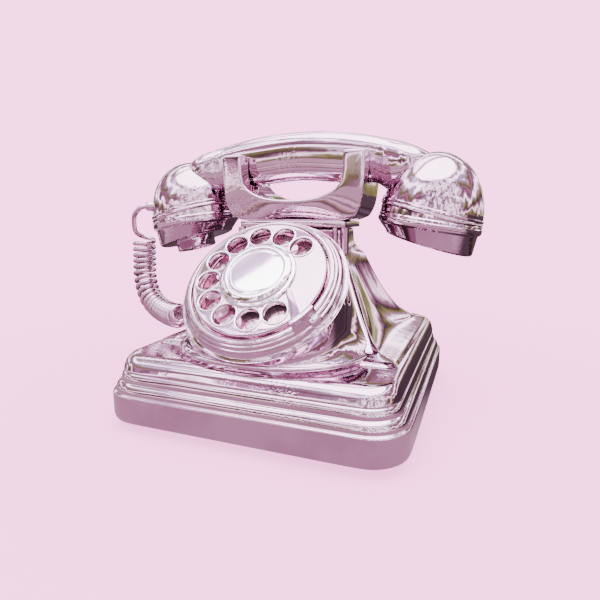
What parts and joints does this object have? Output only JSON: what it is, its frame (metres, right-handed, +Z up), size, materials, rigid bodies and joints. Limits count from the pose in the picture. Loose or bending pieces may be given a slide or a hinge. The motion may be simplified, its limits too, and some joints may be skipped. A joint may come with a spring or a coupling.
{
  "type": "rotary desk telephone",
  "caption": "Rotary desk telephone with a flared stepped housing, a finger-hole dial, a horned cradle and a handset on a curly cord.",
  "frame": {"origin": "on the table under the middle of the plinth", "axes": "+X to the right seen from the dial, -Y to the front, +Z up"},
  "size_m": [0.2383, 0.185, 0.1678],
  "materials": {
    "pink_chrome": "mirror polish with a pink tint",
    "pink_chrome_cord": "gloss, metallic pink",
    "mirror_disc": "polished disc",
    "dial_plate": "gloss enamel",
    "plated_steel": "zinc plated",
    "contact_brass": "bare",
    "black_rubber": "matt",
    "black_plastic": "satin",
    "coil_red": "varnished",
    "capacitor_green": "satin paint",
    "coil_brown": "varnished"
  },
  "bodies": {
    "telephone": {"housing_shell": "pink_chrome", "dial_cowl": "pink_chrome", "base_plate": "plated_steel", "rubber_feet": "black_rubber", "base_screws": "plated_steel", "cradle": "pink_chrome", "cradle_screws": "plated_steel", "hookswitch_bracket": "plated_steel", "hookswitch_springs": "contact_brass", "dial_bezel": "pink_chrome", "number_plate": "dial_plate", "dial_case": "plated_steel", "dial_back_plate": "plated_steel", "finger_stop": "pink_chrome", "finger_stop_screw": "plated_steel", "dial_contacts": "contact_brass", "ringer_frame": "plated_steel", "gong_left": "contact_brass", "gong_right": "contact_brass", "gong_screws": "plated_steel", "ringer_coils": "coil_red", "capacitor": "capacitor_green", "induction_coil": "coil_brown", "terminal_block": "black_plastic", "terminal_screws": "contact_brass", "cord_gland": "pink_chrome_cord", "line_cord_inlet": "black_plastic", "handset_cord": "pink_chrome_cord"},
    "dial": {"finger_wheel": "pink_chrome", "hub_ring": "pink_chrome", "hub_disc": "mirror_disc", "dial_shaft": "plated_steel", "main_gear": "contact_brass"},
    "intermediate": {"intermediate_gear": "contact_brass"},
    "governor_body": {"governor": "contact_brass"},
    "plunger": {"cradle_plunger": "plated_steel"},
    "switch_lever": {"hookswitch_lever": "contact_brass"},
    "bell_clapper": {"clapper": "contact_brass"},
    "handset": {"handset_grip": "pink_chrome", "transmitter_cap": "pink_chrome", "receiver_cap": "pink_chrome", "transmitter_capsule": "plated_steel", "receiver_capsule": "plated_steel", "handset_bush": "pink_chrome_cord"}
  },
  "joints": [
    {"name": "handset_lift", "type": "slide", "parent": "telephone", "child": "handset", "axis": [0, 0, 1], "range_m": [0, 0.06], "deforming": ["handset_cord"]},
    {"name": "plunger_slide", "type": "slide", "parent": "telephone", "child": "plunger", "axis": [0, 0, 1], "range_m": [0, 0.0035]},
    {"name": "switch_lever_hinge", "type": "hinge", "parent": "telephone", "child": "switch_lever", "pos_m": [0.014, 0.006, 0.092], "axis": [0, 1, 0], "range_deg": [0, 14.48]},
    {"name": "dial_spin", "type": "hinge", "parent": "telephone", "child": "dial", "pos_m": [0, -0.0596, 0.0863], "axis": [0, 0.7022, -0.712], "range_deg": [0, 324], "stiffness_Nm_per_rad": 0.02, "springref_deg": -17.19},
    {"name": "intermediate_spin", "type": "hinge", "parent": "telephone", "child": "intermediate", "pos_m": [0, -0.02761, 0.08975], "axis": [0, 0.7022, -0.712], "range_deg": [-1297, 0]},
    {"name": "governor_spin", "type": "hinge", "parent": "telephone", "child": "governor_body", "pos_m": [-0.0167, -0.02761, 0.08975], "axis": [0, 0.7022, -0.712], "range_deg": [0, 2593]},
    {"name": "clapper_swing", "type": "hinge", "parent": "telephone", "child": "bell_clapper", "pos_m": [0, 0.006, 0.02], "axis": [0, 0, 1], "range_deg": [-3, 3]}
  ],
  "couplings": [
    {"joint": "plunger_slide", "follows": "handset_lift", "ratio": 0.058333},
    {"joint": "switch_lever_hinge", "follows": "handset_lift", "rad_per_m": 4.2113},
    {"joint": "intermediate_spin", "follows": "dial_spin", "ratio": -4},
    {"joint": "governor_spin", "follows": "dial_spin", "ratio": 8}
  ]
}
